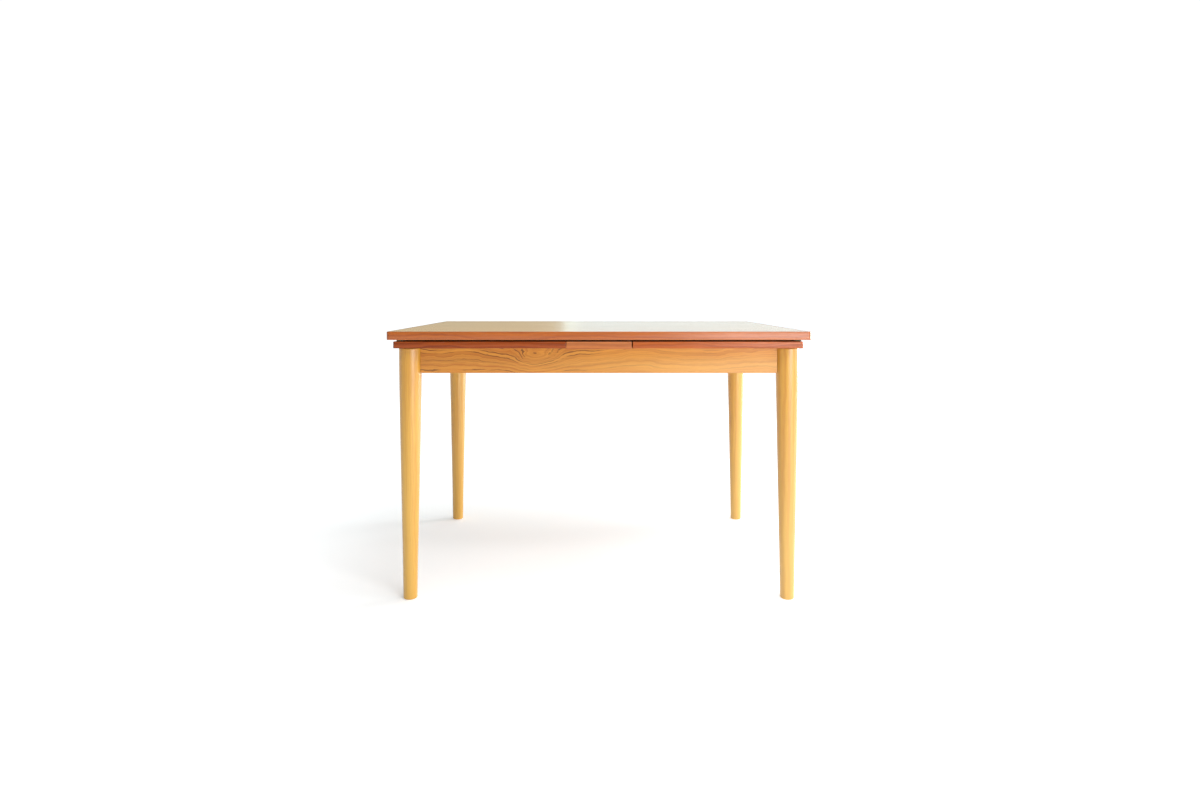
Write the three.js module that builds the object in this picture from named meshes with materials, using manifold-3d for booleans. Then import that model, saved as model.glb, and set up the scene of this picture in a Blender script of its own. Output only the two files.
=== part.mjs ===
// Draw-leaf dining table: a loose main top over two leaves that pull out from under it on wooden runners.
// Millimetres, +Z up. The origin is on the floor under the middle of the table, and +X runs along its length.
import * as THREE from "three";
import { mergeVertices } from "three/addons/utils/BufferGeometryUtils.js";
import Module from "manifold-3d";

const wasm = await Module();
wasm.setup();

// ---- driving dimensions ----
const TOP = { length: 1146, width: 800, thick: 22.5, corner: 10, ease: 1.2, lipping: 10 };
const HEIGHT = 735; // floor to the upper face of the top
const TOP_GAP = 4.5; // daylight between the top and the leaves
const LEAF = { width: 798, thick: 18, corner: 7, ease: 0.8, lipping: 8 };
const BOARD = { length: 176, width: 798, thick: 20, ease: 0.6 }; // fixed board between the leaves
const LEAF_LENGTH = { left: 466, right: 460 };
const LEAF_GAP = { left: 1, right: 3 }; // between the board and each stowed leaf
const LEAF_CLEAR = 2; // between the top's end and a leaf that is pulled out
const LEG = { x: 519, y: 350, topRadius: 31, ease: 1.5, steps: 11 };
const LEG_FOOT = [[15.5, 0], [18, 1.6]]; // radius and height of the rounded foot
const LEG_TAPER = [[19, 6], [20.6, 110], [25, 320], [29, 520], [30.5, 620]]; // radius and height above it
const APRON = { depth: 68.5, thick: 22, proud: 10 };
const TONGUE = { thick: 12, shoulder: 10, inLeg: 9, root: 30 }; // on each end of each apron
const RUNNER = { width: 28, depth: 34, outerEnd: 26, sink: 2.7, pinInset: 12 };
const RUNNER_Y = { right: 245, left: 212 }; // the pairs pass side by side
const BEARER = { x: 70, thick: 22, depth: 63, housing: 5 };
const PIN = { radius: 6, below: 13, under: 6, stopGap: 1 };
const PEG = { radius: 8, y: 120, inTop: 12, below: 56 };
const FELT = { width: 16, length: 776, x: 539 };
const BLOCK = { near: 44, far: 68, low: 10 }; // distances from the leg's centre, along the diagonal
const BOLT = { radius: 4, start: 8, end: 92 };
const NUT = { radius: 8, length: 9, span: 17, wing: 3, wingFrom: 1, wingPast: 4 };
const SCREW = { radius: 2.3, head: 4.6, headThick: 3, sink: 13, bite: 12 };
const SLOT = { half: 3, halfWide: 0.6, deep: 1.2 }; // in a screw's head
const RUNNER_SCREW = { fromInner: 95, fromOuter: 90 }; // along the leaf, from its two ends
const BOARD_SCREW_Y = [-90, 90];
const GAP = 0.3; // between pieces that touch
const SHARP = 1.2; // radius of a plan corner that is left almost square
const PAST = 5; // how far a cutting shape reaches past what it cuts

// ---- derived heights ----
const topUnder = HEIGHT - TOP.thick;
const leafTop = topUnder - TOP_GAP;
const leafUnder = leafTop - LEAF.thick;
const baseTop = leafTop - BOARD.thick; // the upper edge of the aprons and legs
const apronLow = baseTop - APRON.depth;
const runnerLow = leafUnder - RUNNER.depth;
const notchLow = runnerLow - GAP;
const pinLow = runnerLow - PIN.below;
const pinHigh = leafUnder - PIN.under;
const tongueLow = apronLow + TONGUE.shoulder;
const tongueHigh = baseTop - TONGUE.shoulder;
const boltZ = (baseTop + apronLow) / 2;

// ---- derived places ----
const apronFaceY = LEG.y + APRON.proud;
const apronBackY = apronFaceY - APRON.thick;
const railFaceX = LEG.x + APRON.proud;
const railBackX = railFaceX - APRON.thick;
const leafInner = {
  left: BOARD.length / 2 + LEAF_GAP.left,
  right: BOARD.length / 2 + LEAF_GAP.right,
};
const travel = {
  left: TOP.length / 2 + LEAF_CLEAR - leafInner.left,
  right: TOP.length / 2 + LEAF_CLEAR - leafInner.right,
};

// ---- materials ----
const finish = (color, roughness, metalness = 0) =>
  new THREE.MeshStandardMaterial({ color, roughness, metalness });
const TEAK = finish("#b8703a", 0.5);
const EDGE_TEAK = finish("#a35a30", 0.5);
const BEECH = finish("#dba95c", 0.5);
const PINE = finish("#cfae7c", 0.65);
const FELT_GREEN = finish("#3c4636", 0.95);
const STEEL = finish("#b9b7ae", 0.35, 0.9);

// ---- solids ----
function toSolid(geometry) {
  const bare = geometry.index ? geometry.toNonIndexed() : geometry.clone();
  bare.deleteAttribute("normal");
  bare.deleteAttribute("uv");
  const merged = mergeVertices(bare, 1e-4);
  return new wasm.Manifold(
    new wasm.Mesh({
      numProp: 3,
      vertProperties: merged.attributes.position.array,
      triVerts: new Uint32Array(merged.index.array),
    }),
  );
}

function toGeometry(solid) {
  const mesh = solid.getMesh();
  const geometry = new THREE.BufferGeometry();
  geometry.setAttribute("position", new THREE.BufferAttribute(mesh.vertProperties, 3));
  geometry.setIndex(new THREE.BufferAttribute(mesh.triVerts, 1));
  return geometry;
}

// A box between two corners.
function box(low, high) {
  const size = high.map((v, i) => v - low[i]);
  const geometry = new THREE.BoxGeometry(...size);
  geometry.translate(...low.map((v, i) => v + size[i] / 2));
  return toSolid(geometry);
}

// An upright cylinder from z0 to z1.
function post(radius, x, y, z0, z1, segments = 20) {
  const geometry = new THREE.CylinderGeometry(radius, radius, z1 - z0, segments);
  geometry.rotateX(Math.PI / 2);
  geometry.translate(x, y, (z0 + z1) / 2);
  return toSolid(geometry);
}

// A flat panel with rounded plan corners (radii in the order of the four signs below) and eased edges.
function panel(x0, x1, width, z0, z1, radii, ease) {
  const [half, shape] = [width / 2 - ease, new THREE.Shape()];
  const [a, b] = [x0 + ease, x1 - ease];
  const [r0, r1, r2, r3] = radii.map((r) => Math.max(r - ease, 0.2));
  shape.moveTo(a + r0, -half);
  shape.lineTo(b - r1, -half);
  shape.absarc(b - r1, -half + r1, r1, -Math.PI / 2, 0);
  shape.lineTo(b, half - r2);
  shape.absarc(b - r2, half - r2, r2, 0, Math.PI / 2);
  shape.lineTo(a + r3, half);
  shape.absarc(a + r3, half - r3, r3, Math.PI / 2, Math.PI);
  shape.lineTo(a, -half + r0);
  shape.absarc(a + r0, -half + r0, r0, Math.PI, Math.PI * 1.5);
  const geometry = new THREE.ExtrudeGeometry(shape, {
    depth: z1 - z0 - 2 * ease,
    bevelEnabled: true,
    bevelSize: ease,
    bevelThickness: ease,
    bevelSegments: 2,
    curveSegments: 6,
  });
  geometry.translate(0, 0, z0 + ease);
  return toSolid(geometry);
}

// An upright prism over a plan outline.
function prism(outline, z0, z1) {
  const shape = new THREE.Shape(outline.map(([x, y]) => new THREE.Vector2(x, y)));
  const geometry = new THREE.ExtrudeGeometry(shape, { depth: z1 - z0, bevelEnabled: false });
  geometry.translate(0, 0, z0);
  return toSolid(geometry);
}

const group = new THREE.Group();
function add(name, solid, material) {
  const mesh = new THREE.Mesh(toGeometry(solid), material);
  mesh.name = name;
  group.add(mesh);
}

const CORNERS = [
  ["front_left", -1, -1],
  ["front_right", 1, -1],
  ["rear_left", -1, 1],
  ["rear_right", 1, 1],
];
const SIDES = [
  ["left", -1],
  ["right", 1],
];

// ---- lippings: solid strips glued round a panel's core, mitred where two of them meet ----
// The outline of one strip: it runs from a0 to a1, and its outer face is at edge, facing along sign.
function stripOutline(a0, a1, edge, sign, width, mitreLow, mitreHigh) {
  const [outer, inner] = [edge + PAST * sign, edge - (width - GAP) * sign];
  const mitreGap = GAP * Math.SQRT1_2;
  const end = (a, inward, mitred, v) => a + inward * (mitred ? (edge - v) * sign + mitreGap : -PAST);
  return [
    [end(a0, 1, mitreLow, outer), outer],
    [end(a1, -1, mitreHigh, outer), outer],
    [end(a1, -1, mitreHigh, inner), inner],
    [end(a0, 1, mitreLow, inner), inner],
  ];
}

// Cuts a finished panel into its core and the strips round it; open names an end without a strip.
function addLipped(name, solid, plan, lipping, open) {
  const { x0, x1, half, z0, z1 } = plan;
  const [low, high] = [z0 - PAST, z1 + PAST];
  const [hasLeft, hasRight] = [open !== "left", open !== "right"];
  for (const [side, sign] of [
    ["front", -1],
    ["rear", 1],
  ]) {
    const outline = stripOutline(x0, x1, sign * half, sign, lipping, hasLeft, hasRight);
    add(`${name}_lipping_${side}`, solid.intersect(prism(outline, low, high)), EDGE_TEAK);
  }
  for (const [side, sign] of SIDES) {
    if (side === open) continue;
    const outline = stripOutline(-half, half, sign < 0 ? x0 : x1, sign, lipping, true, true);
    const swapped = outline.map(([along, across]) => [across, along]);
    add(`${name}_lipping_${side}`, solid.intersect(prism(swapped, low, high)), EDGE_TEAK);
  }
  const coreLow = [hasLeft ? x0 + lipping : x0 - PAST, lipping - half, low];
  const coreHigh = [hasRight ? x1 - lipping : x1 + PAST, half - lipping, high];
  add(name, solid.intersect(box(coreLow, coreHigh)), TEAK);
}

// ---- legs: turned and tapered, with a slot for each apron's tongue and a hole for the bolt ----
function legProfile() {
  const points = [[0, 0], ...LEG_FOOT].map(([radius, z]) => new THREE.Vector2(radius, z));
  const rings = [...LEG_TAPER, [LEG.topRadius, baseTop - LEG.ease]];
  const taper = new THREE.CatmullRomCurve3(rings.map(([radius, z]) => new THREE.Vector3(radius, z, 0)));
  taper.getPoints(LEG.steps).forEach((p) => points.push(new THREE.Vector2(p.x, p.y)));
  points.push(new THREE.Vector2(LEG.topRadius - LEG.ease, baseTop), new THREE.Vector2(0, baseTop));
  return points;
}

// A bar of round section along the corner's diagonal, between two distances from the leg's centre.
function diagonalRod(radius, near, far, sx, sy, segments = 14) {
  const geometry = new THREE.CylinderGeometry(radius, radius, far - near, segments);
  geometry.rotateZ(Math.PI / 2);
  geometry.translate((near + far) / 2, 0, 0);
  geometry.rotateZ(Math.atan2(-sy, -sx));
  geometry.translate(sx * LEG.x, sy * LEG.y, boltZ);
  return toSolid(geometry);
}

const legAt = (sx, sy, grow = 0) =>
  post(LEG.topRadius + grow, sx * LEG.x, sy * LEG.y, apronLow - PAST, baseTop + PAST, 48);

function tongueAlongX(sx, sy, grow) {
  const end = LEG.x - LEG.topRadius + TONGUE.inLeg + grow;
  const middle = apronFaceY - APRON.thick / 2;
  const half = TONGUE.thick / 2 + grow;
  const xs = [sx * (end - TONGUE.root), sx * end].sort((a, b) => a - b);
  const ys = [sy * (middle - half), sy * (middle + half)].sort((a, b) => a - b);
  return box([xs[0], ys[0], tongueLow - grow], [xs[1], ys[1], tongueHigh + grow]);
}

function tongueAlongY(sx, sy, grow) {
  const end = LEG.y - LEG.topRadius + TONGUE.inLeg + grow;
  const middle = railFaceX - APRON.thick / 2;
  const half = TONGUE.thick / 2 + grow;
  const xs = [sx * (middle - half), sx * (middle + half)].sort((a, b) => a - b);
  const ys = [sy * (end - TONGUE.root), sy * end].sort((a, b) => a - b);
  return box([xs[0], ys[0], tongueLow - grow], [xs[1], ys[1], tongueHigh + grow]);
}

function buildLegs() {
  const profile = legProfile();
  for (const [corner, sx, sy] of CORNERS) {
    const turned = new THREE.LatheGeometry(profile, 40);
    turned.rotateX(Math.PI / 2);
    turned.translate(sx * LEG.x, sy * LEG.y, 0);
    const leg = toSolid(turned)
      .subtract(tongueAlongX(sx, sy, GAP))
      .subtract(tongueAlongY(sx, sy, GAP))
      .subtract(diagonalRod(BOLT.radius + GAP, BOLT.start - GAP, BOLT.end, sx, sy));
    add(`leg_${corner}`, leg, BEECH);
  }
}

// ---- aprons: long rails front and rear, notched rails at the ends ----
function buildAprons() {
  for (const [name, sy] of [
    ["apron_front", -1],
    ["apron_rear", 1],
  ]) {
    const ys = [sy * apronBackY, sy * apronFaceY].sort((a, b) => a - b);
    let rail = box([-LEG.x, ys[0], apronLow], [LEG.x, ys[1], baseTop - GAP]);
    for (const [, sx] of SIDES) {
      rail = rail.subtract(legAt(sx, sy, GAP)).subtract(pastLeg(sx, sy, 0));
      rail = rail.add(tongueAlongX(sx, sy, 0)).subtract(bearerEnd(sx, sy, GAP));
    }
    add(name, rail, TEAK);
  }
  for (const [side, sx] of SIDES) {
    const xs = [sx * railBackX, sx * railFaceX].sort((a, b) => a - b);
    let rail = box([xs[0], -LEG.y, apronLow], [xs[1], LEG.y, baseTop - GAP]);
    for (const sy of [-1, 1]) {
      rail = rail.subtract(legAt(sx, sy, GAP)).subtract(pastLeg(sx, sy, 1));
      rail = rail.add(tongueAlongY(sx, sy, 0)).subtract(notch(sx * railBackX, side, sy, notchLow));
    }
    add(`apron_${side}_end`, rail, TEAK);
  }
}

// What of a rail would stick out past the leg: beyond its middle, along X (0) or Y (1).
function pastLeg(sx, sy, axis) {
  const [inside, reach] = [20, 60]; // the cut starts within the leg and ends well clear of it
  const from = [sx * (LEG.x - inside), sy * (LEG.y - inside)];
  const to = [sx * (LEG.x + reach), sy * (LEG.y + reach)];
  from[1 - axis] = (axis ? sx * LEG.x : sy * LEG.y) - reach;
  to[1 - axis] = from[1 - axis] + 2 * reach;
  const low = from.map((v, i) => Math.min(v, to[i]));
  const high = from.map((v, i) => Math.max(v, to[i]));
  return box([...low, apronLow - PAST], [...high, baseTop + PAST]);
}

// A slot for a runner, open at the upper edge of the rail that it is cut in.
function notch(x, side, sy, low) {
  const half = RUNNER.width / 2 + 2 * GAP;
  const reach = APRON.thick + PAST;
  const y = sy * RUNNER_Y[side];
  return box([x - reach, y - half, low], [x + reach, y + half, baseTop + PAST]);
}

// ---- bearers: two cross rails under the fixed board, which guide the runners and stop their pins ----
function bearerBox(sx, sy, from, to, grow) {
  const ys = [sy * from, sy * to].sort((a, b) => a - b);
  const x = sx * BEARER.x;
  const half = BEARER.thick / 2 + grow;
  return box([x - half, ys[0], baseTop - BEARER.depth - grow], [x + half, ys[1], baseTop - GAP + grow]);
}
const bearerEnd = (sx, sy, grow) =>
  bearerBox(sx, sy, apronBackY - PAST, apronBackY + BEARER.housing + grow, grow);

function buildBearers() {
  for (const [side, sx] of SIDES) {
    const far = side === "left" ? "right" : "left";
    const reach = apronBackY + BEARER.housing;
    let rail = bearerBox(sx, 1, -reach, reach, 0);
    for (const sy of [-1, 1]) {
      rail = rail.subtract(notch(sx * BEARER.x, side, sy, notchLow));
      rail = rail.subtract(notch(sx * BEARER.x, far, sy, pinLow - 2 * GAP));
    }
    for (const y of BOARD_SCREW_Y) rail = rail.subtract(screwHole(sx * BEARER.x, y, baseTop - BEARER.depth));
    add(`bearer_${side}`, rail, PINE);
    BOARD_SCREW_Y.forEach((y, i) => {
      const low = baseTop - BEARER.depth + SCREW.sink;
      add(`board_screw_${side}_${i + 1}`, screw(sx * BEARER.x, y, low, baseTop + SCREW.bite), STEEL);
    });
  }
}

// ---- screws, upright with the head down ----
function screw(x, y, low, high) {
  const slotLow = [x - SLOT.half, y - SLOT.halfWide, low - PAST];
  const slotHigh = [x + SLOT.half, y + SLOT.halfWide, low + SLOT.deep];
  return post(SCREW.head, x, y, low, low + SCREW.headThick, 16)
    .add(post(SCREW.radius, x, y, low + SCREW.headThick / 2, high, 10))
    .subtract(box(slotLow, slotHigh));
}

// The counterbore and clearance hole for a screw whose head is sunk above the face at low.
function screwHole(x, y, low) {
  const bored = low + SCREW.sink + SCREW.headThick + GAP;
  return post(SCREW.head + GAP, x, y, low - PAST, bored, 16).add(
    post(SCREW.radius + GAP, x, y, low, leafTop + PAST, 10),
  );
}

// ---- fixed board between the leaves, with holes for the top's two pegs ----
function buildBoard() {
  const half = BOARD.length / 2;
  const square = [SHARP, SHARP, SHARP, SHARP];
  let board = panel(-half, half, BOARD.width, baseTop, leafTop, square, BOARD.ease);
  for (const sy of [-1, 1]) {
    board = board.subtract(post(PEG.radius + 2 * GAP, 0, sy * PEG.y, baseTop - PAST, leafTop + PAST, 24));
  }
  for (const [, sx] of SIDES) {
    for (const y of BOARD_SCREW_Y) {
      const bite = baseTop + SCREW.bite + GAP;
      board = board.subtract(post(SCREW.radius + GAP, sx * BEARER.x, y, baseTop - PAST, bite, 10));
    }
  }
  add("centre_board", board, EDGE_TEAK);
}

// ---- corner blocks, hanger bolts and wing nuts, which hold the legs to the aprons ----
function buildCornerFixings() {
  for (const [corner, sx, sy] of CORNERS) {
    add(`corner_block_${corner}`, cornerBlock(sx, sy), PINE);
    add(`leg_bolt_${corner}`, diagonalRod(BOLT.radius, BOLT.start, BOLT.end - 2, sx, sy), STEEL);
    add(`wing_nut_${corner}`, wingNut(sx, sy), STEEL);
  }
}

function cornerBlock(sx, sy) {
  const x = railBackX - GAP;
  const y = apronBackY - GAP;
  // A point where the line at that distance along the diagonal meets the inner face of a rail.
  const alongRail = (distance) => LEG.x + LEG.y - distance * Math.SQRT2 - x;
  const alongApron = (distance) => LEG.x + LEG.y - distance * Math.SQRT2 - y;
  const outline = [
    [x, alongRail(BLOCK.near)],
    [x, alongRail(BLOCK.far)],
    [alongApron(BLOCK.far), y],
    [alongApron(BLOCK.near), y],
  ];
  return prism(outline, apronLow + BLOCK.low, baseTop - BLOCK.low)
    .scale([sx, sy, 1])
    .subtract(diagonalRod(BOLT.radius + 2 * GAP, BOLT.start, BOLT.end + PAST, sx, sy));
}

function wingNut(sx, sy) {
  const start = BLOCK.far + GAP;
  const hub = diagonalRod(NUT.radius, start, start + NUT.length, sx, sy);
  const low = [start + NUT.wingFrom, -NUT.span, -NUT.wing / 2];
  const high = [start + NUT.length + NUT.wingPast, NUT.span, NUT.wing / 2];
  const wings = new THREE.BoxGeometry(...high.map((v, i) => v - low[i]));
  wings.translate(...low.map((v, i) => (v + high[i]) / 2));
  wings.rotateZ(Math.atan2(-sy, -sx));
  wings.translate(sx * LEG.x, sy * LEG.y, boltZ);
  return hub
    .add(toSolid(wings))
    .subtract(diagonalRod(BOLT.radius + GAP, BOLT.start, BOLT.end + PAST, sx, sy));
}

// ---- leaves: a panel, two runners with stop pins, and the screws that hold them ----
function buildLeaf(side, sx) {
  const inner = leafInner[side];
  const outer = inner + LEAF_LENGTH[side];
  const [x0, x1] = [sx * inner, sx * outer].sort((a, b) => a - b);
  const outerCorner = LEAF.corner;
  const radii =
    sx > 0 ? [SHARP, outerCorner, outerCorner, SHARP] : [outerCorner, SHARP, SHARP, outerCorner];
  let leaf = panel(x0, x1, LEAF.width, leafUnder, leafTop, radii, LEAF.ease);
  const screwX = [inner + RUNNER_SCREW.fromInner, outer - RUNNER_SCREW.fromOuter].map((x) => sx * x);
  for (const [where, sy] of [
    ["front", -1],
    ["rear", 1],
  ]) {
    const y = sy * RUNNER_Y[side];
    for (const x of screwX) {
      const bite = leafUnder + SCREW.bite + GAP;
      leaf = leaf.subtract(post(SCREW.radius + GAP, x, y, leafUnder - PAST, bite, 10));
    }
    screwX.forEach((x, i) => {
      const low = runnerLow + SCREW.sink;
      add(`runner_screw_${side}_${where}_${i + 1}`, screw(x, y, low, leafUnder + SCREW.bite), STEEL);
    });
    add(`runner_${side}_${where}`, runner(side, sx, y, screwX), PINE);
    const pinX = sx * stopPinX(side);
    add(`stop_pin_${side}_${where}`, post(PIN.radius, pinX, y, pinLow, pinHigh), BEECH);
  }
  const plan = { x0, x1, half: LEAF.width / 2, z0: leafUnder, z1: leafTop };
  addLipped(`leaf_${side}`, leaf, plan, LEAF.lipping, side === "left" ? "right" : "left");
}

// Where a stowed leaf's stop pin is, so that it meets the near bearer when the leaf is right out.
const stopPinX = (side) => BEARER.x - BEARER.thick / 2 - PIN.radius - PIN.stopGap - travel[side];

function runner(side, sx, y, screwX) {
  const half = RUNNER.width / 2;
  const inner = leafInner[side];
  const end = stopPinX(side) - RUNNER.pinInset;
  const tip = inner + LEAF_LENGTH[side] - RUNNER.outerEnd;
  const under = [sx * (inner + 1), sx * tip].sort((a, b) => a - b);
  const whole = [sx * end, sx * tip].sort((a, b) => a - b);
  let bar = box([whole[0], y - half, runnerLow], [whole[1], y + half, leafUnder - RUNNER.sink]);
  bar = bar.add(box([under[0], y - half, runnerLow], [under[1], y + half, leafUnder - GAP]));
  for (const x of screwX) bar = bar.subtract(screwHole(x, y, runnerLow));
  const pinX = sx * stopPinX(side);
  return bar.subtract(post(PIN.radius + GAP, pinX, y, runnerLow - PAST, pinHigh + GAP));
}

// ---- main top: loose, kept in place by two pegs that drop through the fixed board ----
function buildTop() {
  const half = TOP.length / 2;
  const radii = [TOP.corner, TOP.corner, TOP.corner, TOP.corner];
  let top = panel(-half, half, TOP.width, topUnder, HEIGHT, radii, TOP.ease);
  for (const [where, sy] of [
    ["front", -1],
    ["rear", 1],
  ]) {
    const seat = topUnder + PEG.inTop;
    top = top.subtract(post(PEG.radius + GAP, 0, sy * PEG.y, topUnder - PAST, seat + GAP, 24));
    add(`top_peg_${where}`, post(PEG.radius, 0, sy * PEG.y, topUnder - PEG.below, seat, 24), BEECH);
  }
  for (const [side, sx] of SIDES) {
    const [x, halfStrip] = [sx * FELT.x, FELT.width / 2];
    const low = [x - halfStrip, -FELT.length / 2, leafTop + GAP];
    const high = [x + halfStrip, FELT.length / 2, topUnder];
    add(`top_felt_${side}`, box(low, high), FELT_GREEN);
  }
  const plan = { x0: -half, x1: half, half: TOP.width / 2, z0: topUnder, z1: HEIGHT };
  addLipped("main_top", top, plan, TOP.lipping, "none");
}

buildLegs();
buildAprons();
buildBearers();
buildBoard();
buildCornerFixings();
SIDES.forEach(([side, sx]) => buildLeaf(side, sx));
buildTop();

export default group;
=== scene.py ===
"""Looks of the draw-leaf dining table: camera, light, floor, finished pieces and their materials."""
import math

import bmesh
import bpy
from mathutils import Matrix, Vector


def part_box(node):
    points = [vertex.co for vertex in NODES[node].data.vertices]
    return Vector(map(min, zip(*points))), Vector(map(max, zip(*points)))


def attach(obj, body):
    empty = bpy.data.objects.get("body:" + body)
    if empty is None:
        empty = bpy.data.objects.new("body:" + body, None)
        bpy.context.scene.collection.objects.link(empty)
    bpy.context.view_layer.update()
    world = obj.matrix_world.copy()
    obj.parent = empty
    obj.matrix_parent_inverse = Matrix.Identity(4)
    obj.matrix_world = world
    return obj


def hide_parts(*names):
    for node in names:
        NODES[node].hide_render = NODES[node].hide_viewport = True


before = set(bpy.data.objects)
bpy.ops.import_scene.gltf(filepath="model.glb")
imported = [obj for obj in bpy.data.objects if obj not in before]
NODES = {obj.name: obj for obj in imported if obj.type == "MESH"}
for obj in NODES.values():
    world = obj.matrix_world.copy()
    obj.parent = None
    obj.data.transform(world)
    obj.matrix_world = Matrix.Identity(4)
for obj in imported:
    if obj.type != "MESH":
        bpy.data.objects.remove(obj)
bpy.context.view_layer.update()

SIDES = (("left", -1), ("right", 1))
ENDS = (("front", -1), ("rear", 1))
CORNERS = [(f"{end}_{side}", sx, sy) for end, sy in ENDS for side, sx in SIDES]


# ---- camera, light and floor ----
QUARTER = math.pi / 2
CAMERA_PLACE = (-0.020, -2.316, 0.831)
CAMERA_SHIFT = (0.0071, -0.0867)
SENSOR = 36  # mm, as is the focal length
FOCAL = 21.39
SURROUND_LIT = 0.21  # the surround's strength as light
SURROUND_SEEN = 1.05  # and as the camera sees it
FLOOR_REACH = 30.0
# The floor's glow is weakest round this point under the table's front left: a painted shadow.
PAINTED_SHADOW_CENTRE = (-0.3, -0.2, 0)
# Two steps of the floor's own light: distance where it starts, where it ends, and the strength at each.
GLOW_STEPS = ((0.25, 0.95, 0.28, 0.45), (1.0, 4.5, 0.0, 0.5))


def make_camera():
    """A level camera in front of the table, a little above its top; the shift alone lowers the horizon."""
    data = bpy.data.cameras.new("camera")
    data.sensor_width = SENSOR
    data.lens = FOCAL
    data.shift_x, data.shift_y = CAMERA_SHIFT
    camera = bpy.data.objects.new("camera", data)
    camera.location = CAMERA_PLACE
    camera.rotation_euler = (QUARTER, 0, 0)
    bpy.context.scene.collection.objects.link(camera)
    bpy.context.scene.camera = camera


def area_light(name, place, aim, size, power, colour):
    """A rectangular soft light, unseen by the camera."""
    data = bpy.data.lights.new(name, "AREA")
    data.shape = "RECTANGLE"
    data.size, data.size_y = size
    data.energy = power
    data.color = colour
    light = bpy.data.objects.new(name, data)
    light.location = place
    light.rotation_euler = (Vector(aim) - Vector(place)).to_track_quat("-Z", "Y").to_euler()
    light.visible_camera = False
    bpy.context.scene.collection.objects.link(light)


def make_world():
    """A dimmer surround for the light, which the camera itself sees as white."""
    world = bpy.data.worlds.new("studio")
    bpy.context.scene.world = world
    world.use_nodes = True
    tree = world.node_tree
    path = tree.nodes.new("ShaderNodeLightPath")
    strength = tree.nodes.new("ShaderNodeMapRange")
    strength.inputs["To Min"].default_value = SURROUND_LIT
    strength.inputs["To Max"].default_value = SURROUND_SEEN
    background = tree.nodes["Background"]
    background.inputs["Color"].default_value = (1, 1, 1, 1)
    tree.links.new(path.outputs["Is Camera Ray"], strength.inputs["Value"])
    tree.links.new(strength.outputs["Result"], background.inputs["Strength"])


def make_floor():
    """A pale floor that brightens into the white surround a few metres out."""
    mesh = bpy.data.meshes.new("floor")
    corners = [(sx * FLOOR_REACH, sy * FLOOR_REACH, 0) for sx, sy in ((-1, -1), (1, -1), (1, 1), (-1, 1))]
    mesh.from_pydata(corners, [], [(0, 1, 2, 3)])
    floor = bpy.data.objects.new("floor", mesh)
    bpy.context.scene.collection.objects.link(floor)
    material = bpy.data.materials.new("floor")
    material.use_nodes = True
    tree = material.node_tree
    shader = tree.nodes["Principled BSDF"]
    shader.inputs["Base Color"].default_value = (0.90, 0.92, 0.935, 1)
    shader.inputs["Roughness"].default_value = 0.8
    shader.inputs["Specular IOR Level"].default_value = 0.1
    shader.inputs["Emission Color"].default_value = (0.95, 0.975, 1, 1)
    # The glow dims round a point under the table as a painted shadow, and grows a few metres out.
    coordinates = tree.nodes.new("ShaderNodeTexCoord")
    distance = tree.nodes.new("ShaderNodeVectorMath")
    distance.operation = "DISTANCE"
    distance.inputs[1].default_value = PAINTED_SHADOW_CENTRE
    tree.links.new(coordinates.outputs["Object"], distance.inputs[0])
    glow = tree.nodes.new("ShaderNodeMath")
    glow.operation = "ADD"
    for socket, (near, far, dim, bright) in enumerate(GLOW_STEPS):
        step = tree.nodes.new("ShaderNodeMapRange")
        step.interpolation_type = "SMOOTHSTEP"
        step.inputs["From Min"].default_value = near
        step.inputs["From Max"].default_value = far
        step.inputs["To Min"].default_value = dim
        step.inputs["To Max"].default_value = bright
        tree.links.new(distance.outputs["Value"], step.inputs["Value"])
        tree.links.new(step.outputs["Result"], glow.inputs[socket])
    tree.links.new(glow.outputs[0], shader.inputs["Emission Strength"])
    mesh.materials.append(material)


def make_lights():
    """Soft lights: a key and a rim on the right, two in front on the right, one overhead, and two behind.

    The two behind are what the top mirrors to the camera: a cool window on the right and a dimmer, greener
    wall on the left. Each row is a name, where the light is, what it faces, its size, power and colour.
    """
    lights = (
        ("key", (3.3, -0.9, 1.4), (0, 0, 0.5), (2.2, 1.9), 51, (1.0, 0.99, 0.98)),
        ("sheen", (1.65, -2.9, 0.62), (0.4, -0.4, 0.65), (1.9, 0.8), 40, (1, 1, 1)),
        ("front", (0.9, -2.2, 3.0), (0.2, -0.3, 0.6), (1.6, 0.8), 38, (1, 1, 1)),
        ("rim", (3.4, 1.7, 0.9), (0, 0.2, 0.5), (1.6, 1.3), 100, (1, 1, 1)),
        ("overhead", (0.6, -0.2, 3.0), (0, 0, 0.7), (3.4, 2.6), 44, (1.0, 0.99, 0.97)),
        ("window", (1.33, 3.6, 1.5), (1.33, 0, 1.5), (3.16, 2.4), 33, (0.60, 0.90, 1.0)),
        ("far_wall", (-1.8, 3.62, 1.5), (-1.8, 0, 1.5), (3.3, 2.4), 12.5, (0.86, 1.0, 0.68)),
    )
    for name, place, aim, size, power, colour in lights:
        area_light(name, place, aim, size, power, colour)


bpy.context.scene.view_settings.view_transform = "Standard"
make_camera()
make_world()
make_floor()
make_lights()


# ---- material helpers ----
def linear(hexadecimal):
    """A colour written as an sRGB hex string, as linear RGBA."""
    parts = [int(hexadecimal[i : i + 2], 16) / 255 for i in (1, 3, 5)]
    return [v / 12.92 if v <= 0.04045 else ((v + 0.055) / 1.055) ** 2.4 for v in parts] + [1.0]


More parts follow.
